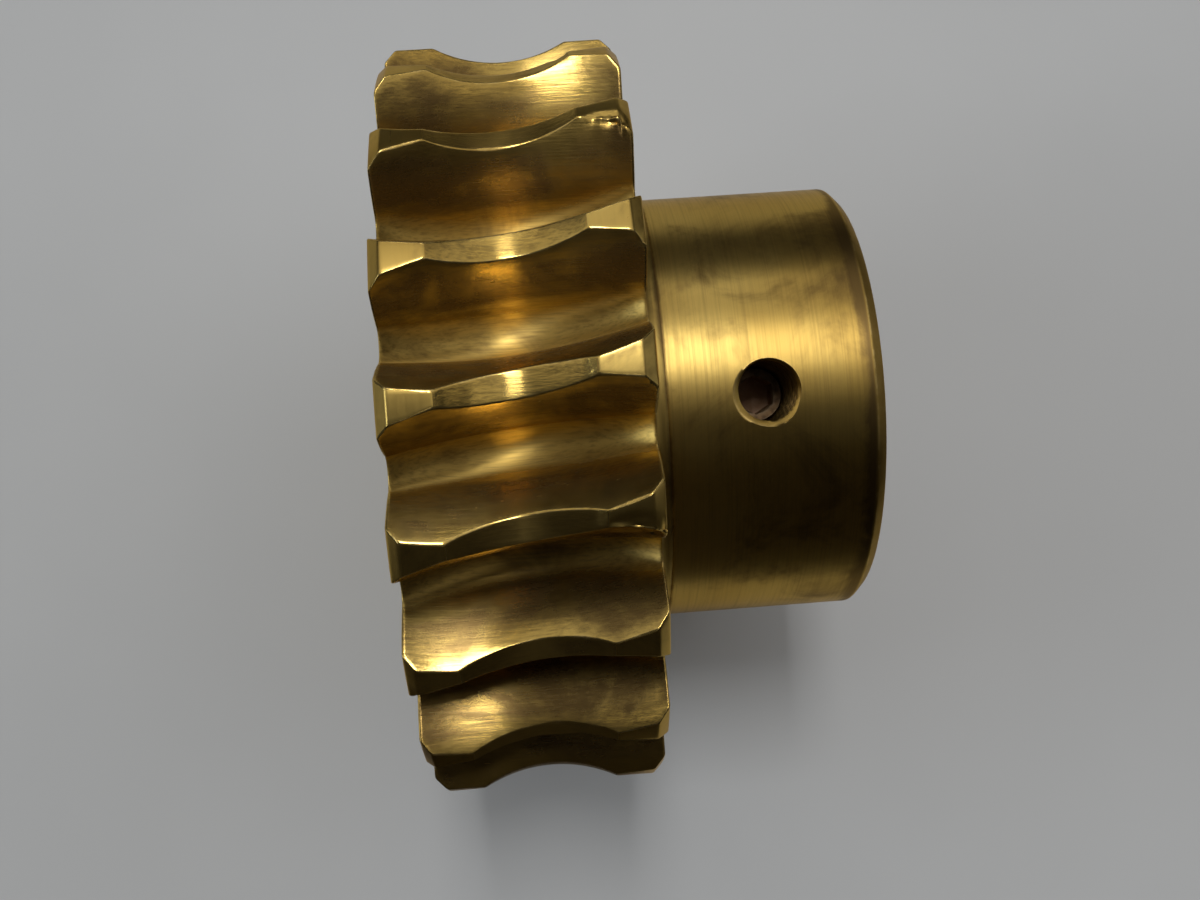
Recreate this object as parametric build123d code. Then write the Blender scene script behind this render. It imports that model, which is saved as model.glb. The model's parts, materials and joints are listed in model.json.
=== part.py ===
from build123d import *
import os
from math import atan, cos, hypot, pi, radians, sin, sqrt, tan

# A worm wheel of cast bronze with a boss on one side, and the set screw that locks it to its shaft.
#
# Millimetres.  The wheel's axis is Y, with the boss towards +Y.  It stands on its teeth, with +Z up.
# The origin is on the axis, in the middle plane of the teeth.

# The worm that the teeth are cut to run with: single start, left hand
MODULE = 3.0
TEETH = 20
WORM_STARTS = 1
WORM_PITCH_RADIUS = 15.0
PRESSURE_ANGLE = radians(20)
HOB_TIP_RADIUS = WORM_PITCH_RADIUS + 1.2 * MODULE
ROOT_ROUNDING = 0.7                # depth over which the bottom of each gap is rounded
WHEEL_PITCH_RADIUS = MODULE * TEETH / 2
CENTRE_DISTANCE = WHEEL_PITCH_RADIUS + WORM_PITCH_RADIUS

# Toothed rim
OUTER_RADIUS = 34.5
FACE_WIDTH = 20.0
RIM_CHAMFER = 0.95
THROAT_ARC_RADIUS = WORM_PITCH_RADIUS - MODULE
SIDE = FACE_WIDTH / 2

# Boss and bore
BOSS_RADIUS = 20.0
BOSS_LENGTH = 20.0
BOSS_END = SIDE + BOSS_LENGTH
BOSS_CHAMFER = 0.9
BOSS_FILLET = 1.8
BORE_RADIUS = 8.0
BORE_CHAMFER = 0.5

# Tapped hole through the boss, for an M6 set screw
HOLE_RADIUS = 2.5
HOLE_MOUTH_RADIUS = 3.1            # where its countersink meets the boss
COUNTERSINK_SLOPE = radians(31)    # left by the point of a larger drill
HOLE_STATION = 20.2
HOLE_LEAN = 10.7                   # degrees from +Z towards +X

# Set screw, flat point with a hexagon socket
SCREW_RADIUS = 2.45
SCREW_LENGTH = 5.0
SCREW_POINT = BORE_RADIUS + 0.05   # distance of its point from the wheel's axis
SCREW_CHAMFER = 0.4
SOCKET_WIDTH = 3.0                 # across flats
SOCKET_DEPTH = 2.3

# How finely the tooth gaps are described
GAP_STATIONS = 9
GAP_OVERRUN = 1.0                  # how far a gap's solid passes each side face
FLANK_POINTS = 9
CUT_CLEARANCE = 0.8                # how far cutting tools stand out of the metal


def flank_point(station, reach, hand):
    """One point of a gap's flank, in the plane across the wheel at a station along its axis.

    The worm, cut by that plane, is a rack.  `reach` is how far the rack's point is from the worm's axis,
    and `hand` is the side of the thread that it is on.  The rack touches the wheel where its normal passes
    through the pitch point, and the contact is turned back with the wheel to where it is at rest.
    """
    radius = hypot(station, reach)
    half_thread = pi * MODULE / 4 + (WORM_PITCH_RADIUS - radius) * tan(PRESSURE_ANGLE)
    lead_shift = -MODULE * WORM_STARTS / 2 * atan(station / reach)
    along = lead_shift + hand * half_thread
    slope = MODULE * WORM_STARTS / 2 * station / radius**2 - hand * tan(PRESSURE_ANGLE) * reach / radius
    depth = reach - WORM_PITCH_RADIUS
    contact = -depth / slope
    turn = (contact - along) / WHEEL_PITCH_RADIUS
    height = WHEEL_PITCH_RADIUS - depth
    return Vector(
        contact * cos(turn) - height * sin(turn),
        station,
        contact * sin(turn) + height * cos(turn),
    )


def gap_section(station):
    """The outline of one tooth gap at a station along the wheel's axis."""
    deepest = sqrt(HOB_TIP_RADIUS**2 - station**2)
    shallow = CENTRE_DISTANCE - OUTER_RADIUS - CUT_CLEARANCE
    step = (deepest - ROOT_ROUNDING - shallow) / (FLANK_POINTS - 1)
    reaches = [shallow + step * i for i in range(FLANK_POINTS)]
    left = [flank_point(station, reach, -1) for reach in reaches]
    right = [flank_point(station, reach, 1) for reach in reversed(reaches)]
    bottom_angle = -MODULE * WORM_STARTS / 2 * atan(station / deepest) / WHEEL_PITCH_RADIUS
    bottom_radius = CENTRE_DISTANCE - deepest
    bottom = Vector(bottom_radius * sin(bottom_angle), station, bottom_radius * cos(bottom_angle))
    root = Spline(left[-1], bottom, right[0], tangents=[left[-1] - left[-2], right[1] - right[0]])
    return make_face([Spline(*left), root, Spline(*right), Line(right[-1], left[0])])


def make_gap():
    """The metal that the hob takes out between two teeth."""
    first = -SIDE - GAP_OVERRUN
    step = (FACE_WIDTH + 2 * GAP_OVERRUN) / (GAP_STATIONS - 1)
    return loft([gap_section(first + step * i) for i in range(GAP_STATIONS)])


def make_blank():
    """The turned blank: the chamfered rim with its throat, the boss with its fillet, and the bore."""
    land_end = SIDE - RIM_CHAMFER
    throat_end = sqrt(THROAT_ARC_RADIUS**2 - (CENTRE_DISTANCE - OUTER_RADIUS) ** 2)
    throat_bottom = CENTRE_DISTANCE - THROAT_ARC_RADIUS
    fillet_centre = (BOSS_RADIUS + BOSS_FILLET, SIDE + BOSS_FILLET)
    back = Polyline(
        (BORE_RADIUS, 0),
        (BORE_RADIUS, BORE_CHAMFER - SIDE),
        (BORE_RADIUS + BORE_CHAMFER, -SIDE),
        (OUTER_RADIUS - RIM_CHAMFER, -SIDE),
        (OUTER_RADIUS, -land_end),
        (OUTER_RADIUS, -throat_end),
    )
    throat = ThreePointArc((OUTER_RADIUS, -throat_end), (throat_bottom, 0), (OUTER_RADIUS, throat_end))
    rim = Polyline(
        (OUTER_RADIUS, throat_end),
        (OUTER_RADIUS, land_end),
        (OUTER_RADIUS - RIM_CHAMFER, SIDE),
        (fillet_centre[0], SIDE),
    )
    fillet_arc = ThreePointArc(
        (fillet_centre[0], SIDE),
        (fillet_centre[0] - BOSS_FILLET * sin(pi / 4), fillet_centre[1] - BOSS_FILLET * cos(pi / 4)),
        (BOSS_RADIUS, fillet_centre[1]),
    )
    boss = Polyline(
        (BOSS_RADIUS, fillet_centre[1]),
        (BOSS_RADIUS, BOSS_END - BOSS_CHAMFER),
        (BOSS_RADIUS - BOSS_CHAMFER, BOSS_END),
        (BORE_RADIUS + BORE_CHAMFER, BOSS_END),
        (BORE_RADIUS, BOSS_END - BORE_CHAMFER),
        (BORE_RADIUS, 0),
    )
    return revolve(make_face([back, throat, rim, fillet_arc, boss]), Axis.Y)


def hole_frame(distance):
    """The tapped hole's frame, with Z outwards, at a distance from the wheel's axis."""
    lean = radians(HOLE_LEAN)
    outward = Vector(sin(lean), 0, cos(lean))
    return Plane(Vector(0, HOLE_STATION, 0) + outward * distance, x_dir=(0, 1, 0), z_dir=outward)


def make_tapped_hole():
    """The hole at the thread's inner diameter, with its countersink."""
    start = BORE_RADIUS / 2
    upright = (Align.CENTER, Align.CENTER, Align.MIN)
    straight = Cylinder(HOLE_RADIUS, BOSS_RADIUS + CUT_CLEARANCE - start, align=upright)
    mouth_depth = (HOLE_MOUTH_RADIUS - HOLE_RADIUS) * tan(COUNTERSINK_SLOPE)
    flare = CUT_CLEARANCE / tan(COUNTERSINK_SLOPE)
    countersink = Cone(
        HOLE_RADIUS,
        HOLE_MOUTH_RADIUS + flare,
        mouth_depth + CUT_CLEARANCE,
        align=upright,
    )
    return hole_frame(start) * straight + hole_frame(BOSS_RADIUS - mouth_depth) * countersink


def make_wheel():
    """The wheel: the blank, less its tooth gaps and the tapped hole."""
    gap = make_gap()
    pitch = 360 / TEETH
    gaps = [Rot(0, pitch * i, 0) * gap for i in range(TEETH)]
    return make_blank() - gaps - make_tapped_hole()


def make_set_screw():
    """The set screw in its hole, with its point just clear of the bore."""
    body = Cylinder(SCREW_RADIUS, SCREW_LENGTH, align=(Align.CENTER, Align.CENTER, Align.MIN))
    ends = body.edges().filter_by(GeomType.CIRCLE)
    body = chamfer(ends, SCREW_CHAMFER)
    socket_radius = SOCKET_WIDTH / sqrt(3)
    socket = extrude(RegularPolygon(socket_radius, 6), SOCKET_DEPTH)
    socket = Pos(0, 0, SCREW_LENGTH - SOCKET_DEPTH) * socket
    return hole_frame(SCREW_POINT) * (body - socket)


os.makedirs("parts", exist_ok=True)
export_step(make_wheel(), "parts/worm_wheel.step")
export_step(make_set_screw(), "parts/set_screw.step")
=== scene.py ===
import json
import math

import bmesh
import bpy
import numpy as np
from mathutils import Matrix, Vector, noise


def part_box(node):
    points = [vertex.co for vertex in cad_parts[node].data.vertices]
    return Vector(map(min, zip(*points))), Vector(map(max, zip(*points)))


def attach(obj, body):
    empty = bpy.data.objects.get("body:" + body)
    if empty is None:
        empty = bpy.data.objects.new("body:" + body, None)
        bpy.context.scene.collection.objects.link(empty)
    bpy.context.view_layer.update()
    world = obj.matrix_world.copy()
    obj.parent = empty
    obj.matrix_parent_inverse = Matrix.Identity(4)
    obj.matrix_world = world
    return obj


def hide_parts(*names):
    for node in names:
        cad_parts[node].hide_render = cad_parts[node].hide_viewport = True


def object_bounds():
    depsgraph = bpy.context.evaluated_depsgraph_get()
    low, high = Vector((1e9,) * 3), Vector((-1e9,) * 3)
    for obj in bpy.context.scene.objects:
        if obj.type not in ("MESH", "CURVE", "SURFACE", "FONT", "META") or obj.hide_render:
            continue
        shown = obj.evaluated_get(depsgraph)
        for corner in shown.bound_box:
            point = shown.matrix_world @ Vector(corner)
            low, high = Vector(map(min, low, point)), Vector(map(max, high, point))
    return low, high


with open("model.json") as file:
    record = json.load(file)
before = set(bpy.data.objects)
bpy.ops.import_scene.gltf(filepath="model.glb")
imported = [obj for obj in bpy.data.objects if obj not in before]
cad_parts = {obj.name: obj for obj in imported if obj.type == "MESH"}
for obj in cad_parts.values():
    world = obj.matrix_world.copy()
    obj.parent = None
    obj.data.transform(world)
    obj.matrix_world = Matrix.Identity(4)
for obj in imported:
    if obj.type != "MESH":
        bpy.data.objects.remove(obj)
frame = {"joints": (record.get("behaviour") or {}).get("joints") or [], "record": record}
CAD_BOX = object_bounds()

# A bronze worm wheel, standing on its teeth with its axis along Y, and the set screw in its boss.
# Shapes are worked out in millimetres and turned into metres as each mesh is made.
MM = 0.001


def in_mm(corner):
    return [c / MM for c in corner]


# ---------------------------------------------------------------- sizes
# The tooth system: the wheel runs with a single-start left-hand worm
MODULE = 3.0
TEETH = 20
WORM_STARTS = 1
WORM_PITCH_RADIUS = 15.0
PRESSURE_ANGLE = math.radians(20)
HOB_TIP_RADIUS = WORM_PITCH_RADIUS + 1.2 * MODULE
ROOT_ROUNDING = 0.7
WHEEL_PITCH_RADIUS = MODULE * TEETH / 2
CENTRE_DISTANCE = WHEEL_PITCH_RADIUS + WORM_PITCH_RADIUS
TOOTH_PITCH = 2 * math.pi / TEETH

# The blank, from the frame where it says
WHEEL_LOW, WHEEL_HIGH = (in_mm(corner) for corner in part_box("worm_wheel"))
SIDE = -WHEEL_LOW[1]
BOSS_END = WHEEL_HIGH[1]
OUTER_RADIUS = 34.5
RIM_CHAMFER = 0.95
THROAT_ARC_RADIUS = WORM_PITCH_RADIUS - MODULE
BOSS_RADIUS = 20.0
BOSS_CHAMFER = 0.9
BOSS_FILLET = 1.8
MOUNTS = {mount["name"]: mount for mount in frame["record"]["mounts"]}
BORE_RADIUS = MOUNTS["bore"]["dims"]["r_mm"]
BORE_CHAMFER = 0.5

# The tapped hole and its set screw
SCREW_AXIS = Vector(frame["joints"][0]["axis"])
SCREW_LOW, SCREW_HIGH = (in_mm(corner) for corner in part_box("set_screw"))
HOLE_STATION = (SCREW_LOW[1] + SCREW_HIGH[1]) / 2
HOLE_LEAN = math.atan2(SCREW_AXIS.x, SCREW_AXIS.z)
HOLE_RADIUS = 2.5
MOUTH_BREAK = 0.16                 # where the hole's sharp mouth is broken
THREAD_PITCH = 1.0
THREAD_DEPTH = 0.55
SCREW_RADIUS = 2.45
SCREW_LENGTH = 5.0
SCREW_POINT = BORE_RADIUS + 0.05
SOCKET_WIDTH = 3.0
SOCKET_DEPTH = 2.3


# Material slots of the wheel's mesh
CUT = 0                            # hobbed tooth surfaces, marked along the teeth
TURNED = 1                         # turned surfaces, marked round the axis
LAND = 2                           # the flat ends of the teeth's tops, turned more finely


# ---------------------------------------------------------------- mesh building
class Builder:
    """Collects points and faces in millimetres, with what the materials need to know about each point:
    `edge` is 1 on a worn edge, and `hollow` runs to 1 deep in a tooth gap or a hole."""

    def __init__(self):
        self.points = []
        self.faces = []
        self.slots = []
        self.edge = []
        self.hollow = []

    def add(self, points, edge=0.0, hollow=0.0):
        """Adds an array of points of any shape, and returns their numbers in that shape."""
        points = np.asarray(points, float)
        shape = points.shape[:-1]
        first = len(self.points)
        self.points.extend(points.reshape(-1, 3))
        self.edge.extend(np.broadcast_to(edge, shape).ravel())
        self.hollow.extend(np.broadcast_to(hollow, shape).ravel())
        return np.arange(first, len(self.points)).reshape(shape)

    def face(self, corners, slot):
        self.faces.append([int(c) for c in corners])
        self.slots.append(slot)

    def grid(self, numbers, slot, skip=None):
        """Quads over rows of point numbers, each row a closed ring."""
        rows, columns = numbers.shape
        for i in range(rows - 1):
            for j in range(columns):
                if skip is not None and skip(i, j):
                    continue
                k = (j + 1) % columns
                self.face([numbers[i, j], numbers[i, k], numbers[i + 1, k], numbers[i + 1, j]], slot)

    def ring_from(self, ring):
        """A ring's points in order of their angle about Y, with the first again at the end."""
        ring = list(ring)
        angles = np.array([math.atan2(self.points[n][0], self.points[n][2]) for n in ring])
        start = int(np.argmin(angles))
        in_order = np.append(np.roll(angles, -start), angles[start] + 2 * math.pi)
        return ring[start:] + ring[: start + 1], in_order

    def zip_rings(self, outer, inner, slot):
        """Triangles over a flat face, between two rings about Y with their own numbers of points."""
        a, angle_a = self.ring_from(outer)
        b, angle_b = self.ring_from(inner)
        i = j = 0
        while i < len(a) - 1 or j < len(b) - 1:
            if j == len(b) - 1 or (i < len(a) - 1 and angle_a[i + 1] <= angle_b[j + 1]):
                self.face([a[i], a[i + 1], b[j]], slot)
                i += 1
            else:
                self.face([a[i], b[j + 1], b[j]], slot)
                j += 1

    def make(self, name, materials, reshape=None):
        """The mesh object, in metres, with its normals outwards and its edges crisp."""
        points = np.array(self.points)
        if reshape is not None:
            points = reshape(points)
        mesh = bpy.data.meshes.new(name)
        mesh.from_pydata((points * MM).tolist(), [], self.faces)
        mesh.polygons.foreach_set("material_index", self.slots)
        for attribute, values in (("edge", self.edge), ("hollow", self.hollow)):
            layer = mesh.attributes.new(attribute, "FLOAT", "POINT")
            layer.data.foreach_set("value", np.array(values, np.float32))
        for material in materials:
            mesh.materials.append(material)
        shape = bmesh.new()
        shape.from_mesh(mesh)
        unused = [point for point in shape.verts if not point.link_faces]
        bmesh.ops.delete(shape, geom=unused, context="VERTS")
        bmesh.ops.recalc_face_normals(shape, faces=shape.faces)
        shape.to_mesh(mesh)
        shape.free()
        mesh.shade_smooth()
        mesh.set_sharp_from_angle(angle=math.radians(38))
        obj = bpy.data.objects.new(name, mesh)
        bpy.context.scene.collection.objects.link(obj)
        weighted = obj.modifiers.new("even_normals", "WEIGHTED_NORMAL")
        weighted.keep_sharp = True
        return obj


def smooth_min(a, b, width):
    """The lesser of two lengths, with the corner between them rounded off over a width."""
    h = np.clip(width - np.abs(a - b), 0, None) / width
    return np.minimum(a, b) - h * h * width / 4


def turned(points, angle):
    """(x, z) points turned about the wheel's axis, from +Z towards +X."""
    c, s = math.cos(angle), math.sin(angle)
    x, z = points[..., 0], points[..., 1]
    return np.stack([x * c + z * s, z * c - x * s], axis=-1)


def polar(radius, angle):
    """(x, z) from a radius and an angle from +Z towards +X."""
    return np.stack([radius * np.sin(angle), radius * np.cos(angle)], axis=-1)


# ---------------------------------------------------------------- teeth
EDGE_WIDTH = 0.13                  # the rounding along a tooth's edges, more where it is worn
SIDE_ROUNDING = 0.16               # the rounding where a tooth meets the wheel's sides
SIDE_BAND = 0.25                   # a narrow strip inside it
FLANK_ROWS = 14
ROOT_ROWS = 5                      # from the bottom of a gap to one flank
LAND_COLUMNS = 6
ROUNDING_SHARES = np.array([0.25, 0.5, 0.75])[:, None]
LEAD = MODULE * WORM_STARTS / 2
LAND_END = SIDE - RIM_CHAMFER
THROAT_END = math.sqrt(THROAT_ARC_RADIUS**2 - (CENTRE_DISTANCE - OUTER_RADIUS) ** 2)


def blank_radius(station):
    """Radius of the turned blank at a station: land, throat and rim chamfer, with softened edges."""
    throat = CENTRE_DISTANCE - math.sqrt(THROAT_ARC_RADIUS**2 - station**2)
    chamfered = OUTER_RADIUS - (abs(station) - LAND_END)
    return float(smooth_min(smooth_min(OUTER_RADIUS, throat, 0.1), chamfered, 0.16))


def flank(station, reach, hand):
    """A gap's flank as (x, z). The worm cut across is a rack, and the wheel is what the rack leaves.

    `reach` is the distance of the rack's point from the worm's axis and `hand` the side of its thread.
    """
    radius = np.hypot(station, reach)
    half_thread = math.pi * MODULE / 4 + (WORM_PITCH_RADIUS - radius) * math.tan(PRESSURE_ANGLE)
    along = -LEAD * np.arctan(station / reach) + hand * half_thread
    slope = LEAD * station / radius**2 - hand * math.tan(PRESSURE_ANGLE) * reach / radius
    depth = reach - WORM_PITCH_RADIUS
    contact = -depth / slope
    turn = (contact - along) / WHEEL_PITCH_RADIUS
    height = WHEEL_PITCH_RADIUS - depth
    x = contact * np.cos(turn) - height * np.sin(turn)
    z = contact * np.sin(turn) + height * np.cos(turn)
    return np.stack([x, z], axis=-1)


def hermite(start, end, start_slope, end_slope, shares):
    t = shares[:, None]
    start_part = (2 * t**3 - 3 * t**2 + 1) * start + (t**3 - 2 * t**2 + t) * start_slope
    return start_part + (3 * t**2 - 2 * t**3) * end + (t**3 - t**2) * end_slope


class GapSide:
    """One side of a gap at a station: its flank, and its root curve from the bottom of the gap."""

    def __init__(self, station, hand):
        self.hand = hand
        self.rim = blank_radius(station)
        deepest = math.sqrt(HOB_TIP_RADIUS**2 - station**2)
        table = np.linspace(CENTRE_DISTANCE - OUTER_RADIUS - 1, deepest - ROOT_ROUNDING, 400)
        rough = flank(station, table, hand)
        top = np.interp(-self.rim, -np.hypot(rough[:, 0], rough[:, 1]), table)
        self.fine = flank(station, np.linspace(deepest - ROOT_ROUNDING, top, 64), hand)
        self.lengths = np.append(0, np.cumsum(np.hypot(*np.diff(self.fine, axis=0).T)))

        bottom_angle = -LEAD * math.atan(station / deepest) / WHEEL_PITCH_RADIUS
        self.bottom_radius = CENTRE_DISTANCE - deepest
        bottom = polar(self.bottom_radius, bottom_angle)
        upward = (self.fine[1] - self.fine[0]) / self.lengths[1]
        reach = 1.1 * np.linalg.norm(self.fine[0] - bottom)
        sideways = hand * polar(1, bottom_angle + math.pi / 2)
        shares = np.linspace(0, 1, ROOT_ROWS, endpoint=False)
        self.root = hermite(bottom, self.fine[0], sideways * reach, upward * reach, shares)

    def points(self, edge_width):
        """From the bottom of the gap up the flank and round the edge, and the land's first angle."""
        wanted = np.linspace(0, self.lengths[-1] - edge_width, FLANK_ROWS)
        side = np.stack([np.interp(wanted, self.lengths, self.fine[:, k]) for k in (0, 1)], axis=-1)
        corner = self.fine[-1]
        land_angle = math.atan2(corner[0], corner[1]) + self.hand * edge_width / self.rim
        on_land = polar(self.rim, land_angle)
        t = ROUNDING_SHARES
        rounding = (1 - t) ** 2 * side[-1] + 2 * t * (1 - t) * corner + t**2 * on_land
        return np.concatenate([self.root, side, rounding, on_land[None]]), land_angle


SIDE_EDGE = np.array([0.0] * (ROOT_ROWS + FLANK_ROWS - 1) + [0.5, 1, 1, 1, 0.5])


def wheel_outline(station):
    """The whole toothed outline at a station: (x, z) points, and their edge and hollow values."""
    rising, falling = GapSide(station, 1), GapSide(station, -1)
    pieces = []
    for tooth in range(TEETH):
        wear = [noise.noise((tooth * 7.3 + hand, station * 0.45, hand)) for hand in (1, -1)]
        up, start = rising.points(EDGE_WIDTH * (1 + 0.9 * wear[0]))
        down, end = falling.points(EDGE_WIDTH * (1 + 0.9 * wear[1]))
        land = polar(rising.rim, np.linspace(start, end + TOOTH_PITCH, LAND_COLUMNS + 2)[1:-1])
        pitch = np.concatenate([up, land, turned(down, TOOTH_PITCH)[:0:-1]])
        pieces.append(turned(pitch, TOOTH_PITCH * tooth))
    points = np.concatenate(pieces)
    edge = np.tile(np.concatenate([SIDE_EDGE, np.zeros(LAND_COLUMNS), SIDE_EDGE[:0:-1]]), TEETH)
    radius = np.hypot(points[:, 0], points[:, 1])
    hollow = (rising.rim - radius) / (rising.rim - rising.bottom_radius)
    return points, edge, hollow


def half_stations():
    """Distances from the middle plane at which outlines are drawn, closer together at the edges."""
    over_edge = np.array([-0.16, -0.08, 0, 0.08, 0.16])
    rounding = SIDE - SIDE_ROUNDING * (1 - np.sin(np.radians([0, 30, 60, 90])))
    return np.concatenate(
        [
            np.linspace(0, THROAT_END - 0.3, 16, endpoint=False),
            THROAT_END + over_edge,
            np.linspace(THROAT_END + 0.35, LAND_END - 0.35, 9),
            LAND_END + over_edge,
            np.linspace(LAND_END + 0.3, SIDE - SIDE_ROUNDING - 0.15, 3),
            rounding,
        ]
    )


def pulled_in(outline, distance):
    """A closed outline moved into the metal by a distance."""
    along = np.roll(outline, -1, axis=0) - np.roll(outline, 1, axis=0)
    normals = np.stack([-along[:, 1], along[:, 0]], axis=-1)
    return outline - normals / np.linalg.norm(normals, axis=1, keepdims=True) * distance


def at_station(outline, station):
    return np.insert(outline, 1, station, axis=1)


def toothed_rim(builder):
    """The teeth, gaps, lands and chamfers, with a strip on each side. Returns the ring at each side."""
    half = half_stations()
    rings, stations = [], np.concatenate([-half[:0:-1], half])
    for station in stations:
        outline, edge, hollow = wheel_outline(station)
        into_side = abs(station) - (SIDE - SIDE_ROUNDING)
        if into_side > 0:
            share = min(1.0, into_side / SIDE_ROUNDING)
            outline = pulled_in(outline, SIDE_ROUNDING * (1 - math.sqrt(1 - share**2)))
            edge = np.maximum(edge, 0.4 + 0.6 * share)
        rings.append(builder.add(at_station(outline, station), edge, hollow))
    for side, station in ((0, -SIDE), (-1, SIDE)):
        outline, _, _ = wheel_outline(station)
        strip = builder.add(at_station(pulled_in(outline, SIDE_ROUNDING + SIDE_BAND), station), 0.0)
        rings.insert(0 if side == 0 else len(rings), strip)
    rings = np.array(rings)
    pitch_columns = rings.shape[1] // TEETH

    def on_land(row, column):
        in_throat = abs(stations[row] + stations[row + 1]) / 2 < THROAT_END
        past_edge = column % pitch_columns - (len(SIDE_EDGE) - 1)
        return not in_throat and 0 <= past_edge <= LAND_COLUMNS

    builder.grid(rings[1:-1], CUT, on_land)
    builder.grid(rings[1:-1], LAND, lambda row, column: not on_land(row, column))
    builder.grid(rings[:2], TURNED)
    builder.grid(rings[-2:], TURNED)
    return rings[0], rings[-1]


def side_of_teeth(builder, ring):
    """The flat end of every tooth. Returns the ring from which the wheel's disc goes on inwards."""
    pitch_points = len(ring) // TEETH
    crown_points = LAND_COLUMNS + 2 * (len(ROUNDING_SHARES) + 1) + 2
    base = []
    for tooth in range(TEETH):
        first = tooth * pitch_points
        last = (first + pitch_points) % len(ring)
        up = [ring[first + ROOT_ROWS + i] for i in range(FLANK_ROWS)]
        down = [ring[last - ROOT_ROWS - i] for i in range(FLANK_ROWS)]
        for i in range(FLANK_ROWS - 1):
            builder.face([up[i], up[i + 1], down[i + 1], down[i]], TURNED)
        top = first + ROOT_ROWS + FLANK_ROWS - 1
        builder.face([ring[top + i] for i in range(crown_points)], TURNED)
        base.extend(ring[first + i] for i in range(ROOT_ROWS + 1))
        base.extend(ring[last - i] for i in range(ROOT_ROWS, 0, -1))
    return base


# ---------------------------------------------------------------- boss, bore and tapped hole
BOSS_COLUMNS = 360
BORE_COLUMNS = 144
WINDOW = 24                        # columns and rows of the square patch round the tapped hole
WINDOW_HALF = 4.2                  # half of the patch's length along the axis
PATCH_RINGS = 6
TOOL_LINE = 0.03                   # depth of the line at the end of the boss's fillet
THREAD_ROWS = 150
THREAD_START = 0.5 * THREAD_PITCH - BOSS_RADIUS + 0.15   # so that a turn runs out on the +X side
HOLE_ROTATION = np.array(Matrix.Rotation(HOLE_LEAN, 3, "Y"))


def from_hole(sideways, along, height):
    """Points given in the tapped hole's own frame: across the wheel's axis, along it, and outwards."""
    local = np.stack(np.broadcast_arrays(sideways, along, height), axis=-1)
    return local @ HOLE_ROTATION.T + [0, HOLE_STATION, 0]


def spun_grid(builder, profile, edges, columns, hollow=0.0):
    """Rings about Y from (radius, station) pairs, the first column over the tapped hole."""
    profile = np.array(profile, float)
    angles = HOLE_LEAN + np.arange(columns) * 2 * math.pi / columns
    radius, station = profile[:, :1], profile[:, 1:]
    outline = polar(radius, angles[None, :])
    points = np.insert(outline, 1, np.broadcast_to(station, outline.shape[:2]), axis=2)
    return builder.add(points, np.array(edges, float)[:, None], hollow)


def window_skip(first_row, columns):
    """Which quads of a grid lie in the square window over the tapped hole."""
    half = WINDOW // 2

    def skip(i, j):
        return first_row <= i < first_row + WINDOW and (j < half or j >= columns - half)

    return skip


def window_loop(numbers, first_row):
    """The point numbers round the window, from the middle of its first row."""
    half, last_row = WINDOW // 2, first_row + WINDOW
    loop = [numbers[first_row, j] for j in range(half)]
    loop += [numbers[i, half] for i in range(first_row, last_row)]
    loop += [numbers[last_row, j] for j in range(half, -half, -1)]
    loop += [numbers[i, -half] for i in range(last_row, first_row, -1)]
    return loop + [numbers[first_row, j] for j in range(-half, 0)]


def patch(builder, loop, surface_radius, hole_radius, hollow=0.0):
    """Rings of quads from the window to the hole in it. Returns the hole's ring and its directions."""
    outer = np.array([builder.points[n] for n in loop]) - [0, HOLE_STATION, 0]
    start = (outer @ HOLE_ROTATION)[:, :2]
    direction = np.arctan2(start[:, 0], start[:, 1])
    target = hole_radius(direction)[:, None] * np.stack([np.sin(direction), np.cos(direction)], axis=-1)
    rings = [np.array(loop)]
    for i in range(1, PATCH_RINGS + 1):
        share = 1 - (1 - i / PATCH_RINGS) ** 1.5
        flat = start + (target - start) * share
        height = np.sqrt(surface_radius**2 - flat[:, 0] ** 2)
        points = from_hole(flat[:, 0], flat[:, 1], height)
        rings.append(builder.add(points, float(i == PATCH_RINGS), hollow))
    builder.grid(np.array(rings), TURNED)
    return rings[-1], direction


def mouth_radius(direction):
    """Radius at which the hole meets the boss, in each direction round it: its thread runs out there."""
    radius = np.full_like(direction, HOLE_RADIUS)
    for _ in range(8):
        surface = np.sqrt(BOSS_RADIUS**2 - (radius * np.sin(direction)) ** 2)
        radius = (radius + wall_radius(direction, surface, surface)) / 2
    return radius


def plain_radius(direction):
    return np.full_like(direction, HOLE_RADIUS)


def groove(direction, height):
    """The V of a thread at a height along it: 0 on its crest, 1 at its bottom."""
    phase = (height / THREAD_PITCH - direction / (2 * math.pi)) % 1.0
    return np.clip((1 - np.abs(2 * phase - 1) - 0.2) / 0.68, 0, 1)


def wall_radius(direction, height, surface):
    """The threaded wall's radius, its edge broken where it comes out at the boss's surface."""
    broken = MOUTH_BREAK - (surface - height)
    thread = THREAD_DEPTH * groove(direction - math.pi / 2, height + THREAD_START)
    return HOLE_RADIUS + np.maximum(0, np.maximum(broken, thread))


def tapped_wall(builder, mouth, exit_ring, direction):
    """The threaded wall, from the boss's surface down to the bore's."""
    sine = np.sin(direction)
    mouth_height = np.sqrt(BOSS_RADIUS**2 - (mouth_radius(direction) * sine) ** 2)
    exit_height = np.sqrt(BORE_RADIUS**2 - (HOLE_RADIUS * sine) ** 2)
    shares = np.linspace(0, 1, THREAD_ROWS + 2)[1:-1, None]
    height = mouth_height + (exit_height - mouth_height) * shares
    fade = np.clip((height - exit_height) / 0.5, 0, 1)
    radius = HOLE_RADIUS + (wall_radius(direction, height, mouth_height) - HOLE_RADIUS) * fade
    points = from_hole(radius * sine, radius * np.cos(direction), height)
    depth = mouth_height - height
    # hollow rises deeper into the hole, where the turned finish paints shade
    numbers = builder.add(points, np.clip(1 - depth / 0.3, 0.1, 1), np.clip((depth - 0.3) / 0.8, 0, 1))
    builder.grid(np.concatenate([mouth[None], numbers, exit_ring[None]]), TURNED)


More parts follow.
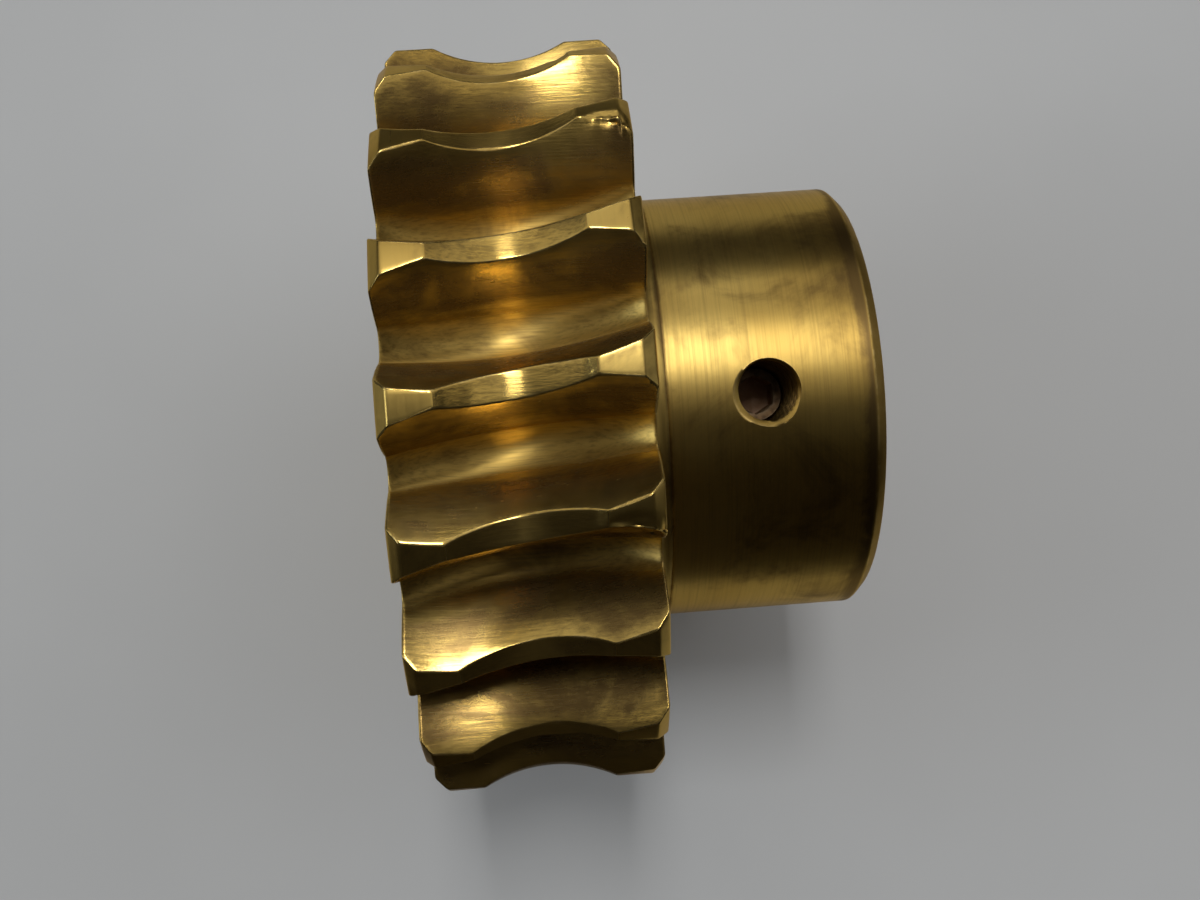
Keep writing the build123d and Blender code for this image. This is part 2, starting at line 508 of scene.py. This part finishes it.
def fillet_profile(centre, radius, start, end, count):
    """(radius, station) pairs on an arc, its angles in degrees from outwards towards the boss's end."""
    angles = np.radians(np.linspace(start, end, count))
    return [(centre[0] + radius * math.cos(a), centre[1] + radius * math.sin(a)) for a in angles]


def softened(corner, before, after, width):
    """A corner of a turned profile as three points, cut back by a width towards each neighbour."""
    corner, before, after = (np.array(p, float) for p in (corner, before, after))
    start = corner + (before - corner) / np.linalg.norm(before - corner) * width
    end = corner + (after - corner) / np.linalg.norm(after - corner) * width
    return [tuple(start), tuple((start + 2 * corner + end) / 4), tuple(end)]


SOFT_EDGES = [0.6, 1.0, 0.6]
BOSS_SOFTENING = 0.12
BORE_SOFTENING = 0.1


def window_stations():
    return list(np.linspace(HOLE_STATION - WINDOW_HALF, HOLE_STATION + WINDOW_HALF, WINDOW + 1))


def boss(builder):
    """The fillet, the boss with its patch, and the chamfer. Returns its end rings and the mouth."""
    low, high = HOLE_STATION - WINDOW_HALF, HOLE_STATION + WINDOW_HALF
    start, end = SIDE + BOSS_FILLET, BOSS_END - BOSS_CHAMFER
    fillet = fillet_profile((BOSS_RADIUS + BOSS_FILLET, start), BOSS_FILLET, 270, 180, 8)[:-1]
    fillet += [(BOSS_RADIUS, start - 0.04), (BOSS_RADIUS - TOOL_LINE, start), (BOSS_RADIUS, start + 0.06)]
    lower = list(np.linspace(start + 0.3, low, 9)[:-1])
    upper = list(np.linspace(high, end - 0.3, 9)[1:])
    straight = [(BOSS_RADIUS, s) for s in lower + window_stations() + upper]
    shoulder, tip = (BOSS_RADIUS, end), (BOSS_RADIUS - BOSS_CHAMFER, BOSS_END)
    rim = softened(shoulder, straight[-1], tip, BOSS_SOFTENING)
    rim += softened(tip, shoulder, (BORE_RADIUS, BOSS_END), BOSS_SOFTENING)
    inside = [(tip[0] - 0.4, BOSS_END)]
    edges = [0.0] * (len(fillet) + len(straight)) + SOFT_EDGES * 2 + [0.0]
    hollow = np.zeros((len(edges), 1))
    # The tool line is marked hollow, so the turned finish paints shade in it
    hollow[len(fillet) - 3 : len(fillet)] = 0.6
    numbers = spun_grid(builder, fillet + straight + rim + inside, edges, BOSS_COLUMNS, hollow)
    first_row = len(fillet) + len(lower)
    builder.grid(numbers, TURNED, window_skip(first_row, BOSS_COLUMNS))
    mouth, direction = patch(builder, window_loop(numbers, first_row), BOSS_RADIUS, mouth_radius)
    return numbers[0], numbers[-1], mouth, direction


def bore(builder):
    """The bore, with its chamfers and its patch under the tapped hole. Returns its end rings and exit."""
    low, high = HOLE_STATION - WINDOW_HALF, HOLE_STATION + WINDOW_HALF
    back, front = BORE_CHAMFER - SIDE, BOSS_END - BORE_CHAMFER
    back_tip = (BORE_RADIUS + BORE_CHAMFER, -SIDE)
    front_tip = (BORE_RADIUS + BORE_CHAMFER, BOSS_END)
    lower = list(np.linspace(back + 0.2, low, 24)[:-1])
    upper = list(np.linspace(high, front - 0.2, 8)[1:])
    straight = [(BORE_RADIUS, s) for s in lower + window_stations() + upper]
    start = [(back_tip[0] + 0.4, -SIDE)]
    start += softened(back_tip, (OUTER_RADIUS, -SIDE), (BORE_RADIUS, back), BORE_SOFTENING)
    start += softened((BORE_RADIUS, back), back_tip, straight[0], BORE_SOFTENING)
    end = softened((BORE_RADIUS, front), straight[-1], front_tip, BORE_SOFTENING)
    end += softened(front_tip, (BORE_RADIUS, front), (BOSS_RADIUS, BOSS_END), BORE_SOFTENING)
    end += [(front_tip[0] + 0.4, BOSS_END)]
    edges = [0.0] + SOFT_EDGES * 2 + [0.0] * len(straight) + SOFT_EDGES * 2 + [0.0]
    numbers = spun_grid(builder, start + straight + end, edges, BORE_COLUMNS)
    first_row = len(start) + len(lower)
    builder.grid(numbers, TURNED, window_skip(first_row, BORE_COLUMNS))
    # The bore's patch is marked half hollow, so the turned finish paints shade round the hole's exit
    exit_ring, _ = patch(builder, window_loop(numbers, first_row), BORE_RADIUS, plain_radius, 0.5)
    return numbers[0], numbers[-1], exit_ring


# Dents on the teeth: tooth, station, side of the tooth (1 towards +X), height below the rim, size and depth
DENTS = [
    (18, 8.6, 1, 0.1, 1.0, 0.45),
    (18, 7.2, 1, 0.0, 0.7, 0.25),
    (1, 7.6, 1, 0.2, 1.3, 0.4),
    (1, 9.6, 1, 0.4, 1.0, 0.5),
    (19, 9.7, 1, 0.1, 0.6, 0.3),
    (17, 5.0, -1, 0.0, 0.6, 0.3),
    (0, 9.5, 1, 0.1, 0.5, 0.2),
    (2, -9.2, 1, 0.0, 0.7, 0.25),
    (3, 3.0, 1, 0.0, 0.5, 0.15),
    (7, 6.5, -1, 0.0, 0.8, 0.3),
    (9, -8.8, 1, 0.1, 0.9, 0.35),
    (12, 9.3, -1, 0.2, 0.8, 0.3),
    (14, -4.0, 1, 0.0, 0.6, 0.2),
]


def dented(points):
    """The wheel's points with small dents pressed into the edges of some teeth."""
    points = points.copy()
    for tooth, station, hand, below, size, depth in DENTS:
        gap_side = GapSide(max(-SIDE + 0.2, min(SIDE - 0.2, station)), -hand)
        corner = turned(gap_side.fine[-1], TOOTH_PITCH * (tooth + (1 if hand > 0 else 0)))
        place = np.array([corner[0], station, corner[1]])
        outward = np.array([place[0], 0, place[2]]) / math.hypot(place[0], place[2])
        place = place - outward * below
        offset = points - place
        distance = np.linalg.norm(offset * [1, 0.6, 1], axis=1)
        near = np.nonzero(distance < size)[0]
        for n in near:
            ragged = 0.7 + 1.1 * noise.noise(points[n] * [3.1, 0.9, 3.1])
            points[n] -= outward * depth * ragged * (1 - (distance[n] / size) ** 2) ** 1.5
    return points


def worm_wheel(materials):
    builder = Builder()
    back_ring, front_ring = toothed_rim(builder)
    boss_root, boss_end, mouth, direction = boss(builder)
    bore_back, bore_front, exit_ring = bore(builder)
    tapped_wall(builder, mouth, exit_ring, direction)
    builder.zip_rings(side_of_teeth(builder, front_ring), boss_root, TURNED)
    builder.zip_rings(side_of_teeth(builder, back_ring), bore_back, TURNED)
    builder.zip_rings(boss_end, bore_front, TURNED)
    return builder.make("bronze_worm_wheel", materials, dented)


# ---------------------------------------------------------------- set screw
SCREW_COLUMNS = 96
POINT_CHAMFER = 0.4
HEAD_CHAMFER = 0.2


def hexagon(angle):
    """Radius of the socket's outline in each direction."""
    sixth = math.pi / 3
    return SOCKET_WIDTH / 2 / np.cos((angle + sixth / 2) % sixth - sixth / 2)


def set_screw(material):
    """The screw in its hole: a threaded body with a flat point, and a hexagon socket in its outer end."""
    builder = Builder()
    angle = np.arange(SCREW_COLUMNS) * 2 * math.pi / SCREW_COLUMNS
    circle = np.ones(SCREW_COLUMNS)
    end = SCREW_LENGTH

    def ring(radius, height, edge=0.0, hollow=0.0):
        points = from_hole(radius * np.sin(angle), radius * np.cos(angle), SCREW_POINT + height)
        return builder.add(points, edge, hollow)

    point_radius, head_radius = SCREW_RADIUS - POINT_CHAMFER, SCREW_RADIUS - HEAD_CHAMFER
    rings = [ring(circle * share * point_radius, 0.0, float(share == 1)) for share in (0.05, 0.5, 0.9, 1.0)]
    for height in np.linspace(0, end, 54)[1:-1]:
        cut = SCREW_RADIUS - THREAD_DEPTH * groove(angle, height)
        cone = min(point_radius + height, head_radius + end - height)
        rings.append(ring(np.minimum(cut, cone), height, 0.0, groove(angle, height) * 0.6))
    rings.append(ring(circle * head_radius, end, 1.0))
    rings.append(ring(circle * (head_radius - 0.1), end, 0.2))
    flat = hexagon(angle)
    rings.append(ring(np.maximum(flat, SOCKET_WIDTH / 2 + 0.12) + 0.02, end, 0.7))
    rings.append(ring(flat, end - 0.14, 0.7, 0.3))
    rings.append(ring(flat, end - SOCKET_DEPTH + 0.3, 0.0, 1.0))
    rings.append(ring(flat * 0.97, end - SOCKET_DEPTH + 0.2, 0.0, 1.0))
    rings.append(ring(circle * 0.05, end - SOCKET_DEPTH, 0.0, 1.0))
    rings = np.array(rings)
    builder.grid(rings, 0)
    builder.face(rings[0], 0)
    builder.face(rings[-1], 0)
    return builder.make("socket_set_screw", [material])


# ---------------------------------------------------------------- materials
class Nodes:
    """A material's node tree, with short calls for the nodes used here."""

    def __init__(self, name):
        self.material = bpy.data.materials.new(name)
        self.material.use_nodes = True
        self.tree = self.material.node_tree
        self.shader = self.tree.nodes["Principled BSDF"]

    def node(self, kind, settings=None, **inputs):
        """A node, with its settings, and its inputs given as numbers or as other nodes' outputs."""
        made = self.tree.nodes.new(kind)
        for name, value in (settings or {}).items():
            setattr(made, name, value)
        for name, value in inputs.items():
            key = int(name[1:]) if name[0] == "_" else name.replace("_", " ").title()
            self.connect(made.inputs[key], value)
        return made

    def connect(self, socket, value):
        if isinstance(value, bpy.types.NodeSocket):
            self.tree.links.new(value, socket)
        else:
            socket.default_value = value

    def math(self, operation, a, b=0.5):
        made = self.node("ShaderNodeMath", {"operation": operation}, _0=a, _1=b)
        return made.outputs[0]

    def attribute(self, name):
        return self.node("ShaderNodeAttribute", {"attribute_name": name}).outputs["Fac"]

    def place(self):
        """The point on the object, in millimetres."""
        where = self.node("ShaderNodeTexCoord").outputs["Object"]
        return self.node("ShaderNodeVectorMath", {"operation": "SCALE"}, _0=where, _3=1 / MM).outputs[0]

    def stretched(self, place, stretch):
        return self.node("ShaderNodeVectorMath", {"operation": "MULTIPLY"}, _0=place, _1=stretch).outputs[0]

    def noise(self, place, scale, detail=4.0, roughness=0.55, distortion=0.0):
        made = self.node(
            "ShaderNodeTexNoise",
            None,
            vector=place,
            scale=scale,
            detail=detail,
            roughness=roughness,
            distortion=distortion,
        )
        return made.outputs["Fac"]

    def between(self, value, low, high, to_low=0.0, to_high=1.0):
        """Maps a value's range on to another, smoothly and without passing its ends."""
        made = self.node(
            "ShaderNodeMapRange",
            {"interpolation_type": "SMOOTHSTEP"},
            value=value,
            from_min=low,
            from_max=high,
            to_min=to_low,
            to_max=to_high,
        )
        return made.outputs[0]

    def mix(self, share, a, b):
        """A colour between a and b."""
        made = self.node("ShaderNodeMix", {"data_type": "RGBA"}, _0=share, _6=a, _7=b)
        return made.outputs[2]

    def bump(self, height, distance, normal=None):
        made = self.node("ShaderNodeBump", None, strength=1.0, distance=distance, height=height)
        if normal is not None:
            self.connect(made.inputs["Normal"], normal)
        return made.outputs["Normal"]


CLEAN = (0.66, 0.46, 0.13, 1)
WARM = (0.54, 0.35, 0.085, 1)
# the dark brown of tarnish; it is also the colour of painted shade in the tooth gaps, the tapped hole and
# the tool line
TARNISH_AND_SHADE = (0.15, 0.092, 0.036, 1)
BRIGHT = (0.80, 0.58, 0.22, 1)
EDGE_ON = (0.80, 0.68, 0.50, 1)    # how bronze tints what it reflects at a glancing angle


def bronze(name, hobbed, roughness, anisotropic, relief):
    """Machined bronze, with tarnish and painted shade. Hobbed surfaces are marked along the teeth, the
    others round the wheel's axis.
    """
    m = Nodes(name)
    place = m.place()
    parts = m.node("ShaderNodeSeparateXYZ", None, _0=place).outputs
    edge, hollow = m.attribute("edge"), m.attribute("hollow")

    if hobbed:
        marks_place = m.stretched(place, (1.0, 0.05, 1.0))
        fine_scale, coarse_scale = 5.0, 0.8
        tangent = m.node("ShaderNodeCombineXYZ", None, _0=0.0, _1=1.0, _2=0.0).outputs[0]
    else:
        x_squared = m.math("MULTIPLY", parts[0], parts[0])
        z_squared = m.math("MULTIPLY", parts[2], parts[2])
        radius = m.math("SQRT", m.math("ADD", x_squared, z_squared))
        across = m.math("ADD", radius, m.math("MULTIPLY", parts[1], 1.3))
        flat = m.stretched(place, (0.02, 0.0, 0.02))
        offset = m.node("ShaderNodeCombineXYZ", None, _0=0.0, _1=across, _2=0.0).outputs[0]
        marks_place = m.node("ShaderNodeVectorMath", {"operation": "ADD"}, _0=flat, _1=offset).outputs[0]
        fine_scale, coarse_scale = 4.0, 0.6
        tangent = m.node("ShaderNodeTangent", {"direction_type": "RADIAL", "axis": "Y"}).outputs[0]

    fine = m.noise(marks_place, fine_scale, 3.0, 0.6)
    coarse = m.noise(marks_place, coarse_scale, 4.0, 0.6)
    patches = m.noise(place, 0.13, 6.0, 0.62, 0.6)
    spots = m.noise(place, 0.75, 5.0, 0.65)
    smudges = m.noise(place, 0.055, 3.0, 0.5)

    # Tarnish in blotches and streaks, to which painted shade is added below
    blotches, streaks = (0.8, 0.3) if hobbed else (0.9, 0.16)
    shade_and_tarnish = m.math("ADD", m.math("MULTIPLY", patches, blotches), m.math("MULTIPLY", coarse, streaks))
    if hobbed:
        # Painted shade: darker high on the flanks, just under the tops of the teeth, and lighter at the
        # bottom of the gaps
        flank = m.math("MULTIPLY", m.between(hollow, 0.02, 0.22), m.between(hollow, 0.5, 0.95, 1.0, -0.3))
        shade_and_tarnish = m.math("ADD", shade_and_tarnish, m.math("MULTIPLY", flank, 0.13))
    else:
        # Painted shade: darker where hollow is set, deep in the tapped hole, round its exit in the bore and
        # in the tool line at the fillet; also a darker band near the boss's end
        boss_end = m.math(
            "MULTIPLY",
            m.between(parts[1], BOSS_END - 2.6, BOSS_END - 0.8),
            m.between(parts[1], BOSS_END - 0.3, BOSS_END - 0.05, 1.0, 0.0),
        )
        shade_and_tarnish = m.math("ADD", shade_and_tarnish, m.math("MULTIPLY", m.math("MAXIMUM", hollow, boss_end), 0.3))
    shade_and_tarnish = m.between(shade_and_tarnish, 0.50, 0.76)
    shade_and_tarnish = m.math("MULTIPLY", shade_and_tarnish, m.between(edge, 0.0, 0.9, 1.0, 0.25))
    colour = m.mix(m.between(smudges, 0.35, 0.65), CLEAN, WARM)
    # Tarnish and painted shade darken the colour together
    colour = m.mix(m.math("MULTIPLY", shade_and_tarnish, 0.85), colour, TARNISH_AND_SHADE)
    colour = m.mix(m.math("MULTIPLY", m.between(fine, 0.42, 0.72), 0.42 * relief), colour, TARNISH_AND_SHADE)
    worn = m.math("MULTIPLY", m.between(edge, 0.45, 0.95), m.between(spots, 0.42, 0.62, 0.1, 1.0))
    colour = m.mix(m.math("MULTIPLY", worn, 0.6), colour, BRIGHT)
    m.connect(m.shader.inputs["Base Color"], colour)

    rough = m.math("ADD", m.math("MULTIPLY", spots, 0.08), m.math("MULTIPLY", fine, 0.10))
    rough = m.math("ADD", rough, m.math("MULTIPLY", shade_and_tarnish, 0.08))
    rough = m.math("ADD", rough, roughness - 0.09)
    if hobbed:
        rough = m.math("ADD", rough, m.between(hollow, 0.72, 0.95, 0.0, 0.2))
    m.connect(m.shader.inputs["Roughness"], rough)
    m.shader.inputs["Metallic"].default_value = 1.0
    m.shader.inputs["Specular Tint"].default_value = EDGE_ON
    m.shader.inputs["Anisotropic"].default_value = anisotropic
    m.shader.inputs["Anisotropic Rotation"].default_value = 0.25
    m.connect(m.shader.inputs["Tangent"], tangent)

    normal = m.bump(fine, relief * 0.013 * MM)
    normal = m.bump(coarse, relief * 0.025 * MM, normal)
    normal = m.bump(spots, 0.004 * MM, normal)
    m.connect(m.shader.inputs["Normal"], normal)
    return m.material


def dark_oxide():
    """The set screw's steel, its dark finish gone brown, and rubbed on its edges."""
    m = Nodes("screw_dark_oxide")
    place = m.place()
    edge, hollow = m.attribute("edge"), m.attribute("hollow")
    spots = m.noise(place, 1.6, 5.0, 0.6)
    colour = m.mix(m.between(spots, 0.35, 0.7), (0.30, 0.175, 0.075, 1), (0.16, 0.09, 0.04, 1))
    colour = m.mix(m.math("MULTIPLY", hollow, 0.8), colour, (0.29, 0.145, 0.055, 1))
    colour = m.mix(m.math("MULTIPLY", m.between(edge, 0.3, 1.0), 0.6), colour, (0.38, 0.29, 0.18, 1))
    m.connect(m.shader.inputs["Base Color"], colour)
    m.connect(m.shader.inputs["Roughness"], m.between(spots, 0.3, 0.7, 0.45, 0.65))
    m.connect(m.shader.inputs["Metallic"], m.between(hollow, 0.2, 0.9, 0.55, 0.15))
    m.connect(m.shader.inputs["Normal"], m.bump(spots, 0.02 * MM))
    return m.material


def pale_table():
    """The floor: matt, pale and a little mottled."""
    m = Nodes("pale_table")
    place = m.place()
    mottle = m.noise(place, 0.012, 4.0, 0.5)
    colour = m.mix(m.between(mottle, 0.3, 0.7), (0.57, 0.575, 0.575, 1), (0.61, 0.615, 0.615, 1))
    m.connect(m.shader.inputs["Base Color"], colour)
    m.shader.inputs["Roughness"].default_value = 0.6
    m.shader.inputs["Specular IOR Level"].default_value = 0.3
    return m.material


# ---------------------------------------------------------------- pieces
wheel = worm_wheel(
    [
        bronze("bronze_cut", hobbed=True, roughness=0.2, anisotropic=0.93, relief=1.0),
        bronze("bronze_turned", hobbed=False, roughness=0.38, anisotropic=0.74, relief=0.5),
        bronze("bronze_land", hobbed=False, roughness=0.3, anisotropic=0.4, relief=0.12),
    ]
)
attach(wheel, "wheel")
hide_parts("worm_wheel")

screw = set_screw(dark_oxide())
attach(screw, "screw")
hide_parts("set_screw")


# ---------------------------------------------------------------- floor, light and camera
def make_floor():
    """A wide pale table just under the teeth."""
    half = 1.5
    height = CAD_BOX[0].z
    corners = [(-half, -half), (half, -half), (half, half), (-half, half)]
    mesh = bpy.data.meshes.new("floor")
    mesh.from_pydata([(x, y, height) for x, y in corners], [], [(0, 1, 2, 3)])
    mesh.materials.append(pale_table())
    obj = bpy.data.objects.new("floor", mesh)
    bpy.context.scene.collection.objects.link(obj)


def area_light(name, direction, distance, size, power, tint=(1, 1, 1), aim=(0, 0, 0)):
    """A rectangular light, `size` along Y and across it, at a distance from `aim` and facing it."""
    data = bpy.data.lights.new(name, "AREA")
    data.shape = "RECTANGLE"
    data.size, data.size_y = size
    data.energy = power
    data.color = tint
    obj = bpy.data.objects.new(name, data)
    back = Vector(direction).normalized()
    side = Vector((0, 1, 0))
    side = (side - back * side.dot(back)).normalized()
    turn = Matrix((side, back.cross(side), back)).transposed().to_4x4()
    obj.matrix_world = Matrix.Translation(Vector(aim) + back * distance) @ turn
    bpy.context.scene.collection.objects.link(obj)
    return obj


def leaning(angle, along=0.0):
    """A direction up from the wheel, leaning from +Z towards +X, and then along the axis."""
    a, b = math.radians(angle), math.radians(along)
    return (math.sin(a) * math.cos(b), math.sin(b), math.cos(a) * math.cos(b))


def from_side(towards, height):
    """A direction towards one side of the wheel, -1 or +1 along Y, and up by an angle."""
    return (0, towards * math.cos(math.radians(height)), math.sin(math.radians(height)))


def dark_card(name, corners):
    """Painted shade: a black card that only the metal's reflections see, standing in for the room's dark
    side and for floor in shadow. It isn't seen itself.
    """
    mesh = bpy.data.meshes.new(name)
    mesh.from_pydata(corners, [], [(0, 1, 2, 3)])
    m = Nodes(name)
    m.shader.inputs["Base Color"].default_value = (0.035, 0.031, 0.027, 1)
    m.shader.inputs["Roughness"].default_value = 1.0
    m.shader.inputs["Specular IOR Level"].default_value = 0.0
    mesh.materials.append(m.material)
    card = bpy.data.objects.new(name, mesh)
    card.visible_camera = card.visible_diffuse = card.visible_shadow = False
    bpy.context.scene.collection.objects.link(card)


GLOW_TINT = (1.0, 0.97, 0.92)
WINDOW_TINT = (0.82, 0.91, 1.0)
SIDE_CARD_PLACE = 0.080            # distance of the card on the +X side, and height of its top
SIDE_CARD_TOP = 0.11
END_CARD_PLACE = 0.110             # the same of the card beyond the boss
END_CARD_TOP = 0.012
FLOOR_CARD_FOOT = 0.046            # a card that slopes up beside the teeth, from its foot to its top: painted shade of the floor there, seen in reflections
FLOOR_CARD_TOP = 0.03
CARD_LENGTH = 0.3


def make_lights():
    """A ceiling lamp in a soft glow, a thin far lamp, a faint window at each end of the axis, and a
    fill that only matt surfaces see."""
    area_light("lamp", leaning(-15), 0.9, (0.13, 0.31), 2.0)
    area_light("ceiling_glow", leaning(-26), 1.0, (2.0, 0.975), 3.2, GLOW_TINT)
    area_light("glow_over_boss", leaning(6), 1.0, (0.36, 0.2), 0.14, GLOW_TINT, (0, 0.31, 0))
    area_light("far_lamp", leaning(-52), 1.0, (0.6, 0.03), 0.25)
    area_light("window", from_side(-1, 33), 1.0, (0.25, 0.5), 1.6, WINDOW_TINT)
    area_light("window_beyond", from_side(1, 14), 1.0, (0.62, 0.8), 0.4)
    fill = area_light("room_fill", leaning(-20, 58), 1.2, (1.5, 1.5), 3.9)
    fill.visible_glossy = False


def make_dark_cards():
    """Painted shade in the metal's reflections: a card on +X for the dark side of the room, one sloping up
    beside the teeth for the floor in shadow there, and a low one beyond that darkens the table seen past
    the boss.
    """
    x, y, low, far = SIDE_CARD_PLACE, END_CARD_PLACE, CAD_BOX[0].z + 0.001, CARD_LENGTH
    foot, foot_end, slope_top = FLOOR_CARD_FOOT, SIDE * MM, FLOOR_CARD_TOP
    side = [(x, -far, low), (x, far, low), (x, far, SIDE_CARD_TOP), (x, -far, SIDE_CARD_TOP)]
    slope = [(foot, -far, low), (foot, foot_end, low), (x, foot_end, slope_top), (x, -far, slope_top)]
    end = [(-far, y, low), (far, y, low), (far, y, END_CARD_TOP), (-far, y, END_CARD_TOP)]
    dark_card("side_card", side)
    dark_card("floor_card", slope)
    dark_card("end_card", end)


def make_world():
    """The faint even light of the rest of the room."""
    world = bpy.data.worlds.new("room")
    bpy.context.scene.world = world
    world.use_nodes = True
    background = world.node_tree.nodes["Background"]
    background.inputs["Color"].default_value = (0.90, 0.92, 1.0, 1)
    background.inputs["Strength"].default_value = 0.035


CAMERA_LEAN = math.radians(11.3)   # the view from above leans this far towards +X
CAMERA_YAW = math.radians(2.3)     # and turns this far towards the boss
CAMERA_ROLL = math.radians(4.1)
CAMERA_DISTANCE = 118.2 * MM       # from the wheel's axis
CAMERA_ALONG = 2.1 * MM
CAMERA_ASIDE = 3.7 * MM
LENS = 36.3
SENSOR = 36.0


def make_camera():
    """The camera looks down on the wheel from close above, with the wheel's axis across the picture."""
    axis = Vector((0, 1, 0))
    outward = Vector((math.sin(CAMERA_LEAN), 0, math.cos(CAMERA_LEAN)))
    down = outward.cross(axis) * -1
    back = outward * math.cos(CAMERA_YAW) - axis * math.sin(CAMERA_YAW)
    level = axis * math.cos(CAMERA_YAW) + outward * math.sin(CAMERA_YAW)
    right = level * math.cos(CAMERA_ROLL) + down * math.sin(CAMERA_ROLL)
    up = back.cross(right)
    data = bpy.data.cameras.new("camera")
    data.lens = LENS
    data.sensor_width = SENSOR
    data.clip_start = 0.005
    obj = bpy.data.objects.new("camera", data)
    place = outward * CAMERA_DISTANCE + axis * CAMERA_ALONG + down * CAMERA_ASIDE
    obj.matrix_world = Matrix.Translation(place) @ Matrix((right, up, back)).transposed().to_4x4()
    bpy.context.scene.collection.objects.link(obj)
    bpy.context.scene.camera = obj


make_floor()
make_lights()
make_dark_cards()
make_world()
make_camera()
bpy.context.scene.view_settings.view_transform = "Standard"
